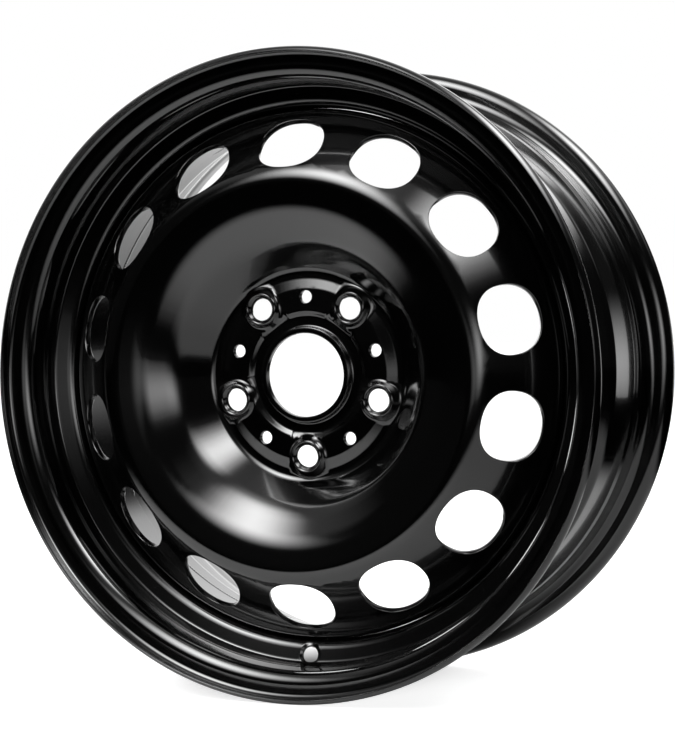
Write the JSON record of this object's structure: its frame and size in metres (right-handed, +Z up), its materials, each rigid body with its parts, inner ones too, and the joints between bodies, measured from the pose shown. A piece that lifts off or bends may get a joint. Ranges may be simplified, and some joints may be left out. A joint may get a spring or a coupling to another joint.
{
  "type": "steel road wheel",
  "caption": "Pressed steel road wheel: a rolled drop-centre rim welded to a vented bowl-shaped disc with raised bolt seats, in gloss black enamel.",
  "frame": {"origin": "centre of the wheel: on its spin axis, in the middle plane between the rim's two flanges", "axes": "+Y along the spin axis towards the vehicle, so the outboard face looks to -Y; +Z up, opposite the valve hole; +X to the right as seen from outboard"},
  "size_m": [0.44, 0.1912, 0.44],
  "materials": {
    "black_enamel": "gloss black stoved enamel"
  },
  "bodies": {
    "root": {"rim": "black_enamel", "disc": "black_enamel", "weld_bead_1": "black_enamel", "weld_bead_2": "black_enamel", "weld_bead_3": "black_enamel", "weld_bead_4": "black_enamel", "weld_bead_5": "black_enamel", "weld_bead_6": "black_enamel", "weld_bead_7": "black_enamel", "weld_bead_8": "black_enamel"}
  },
  "joints": []
}
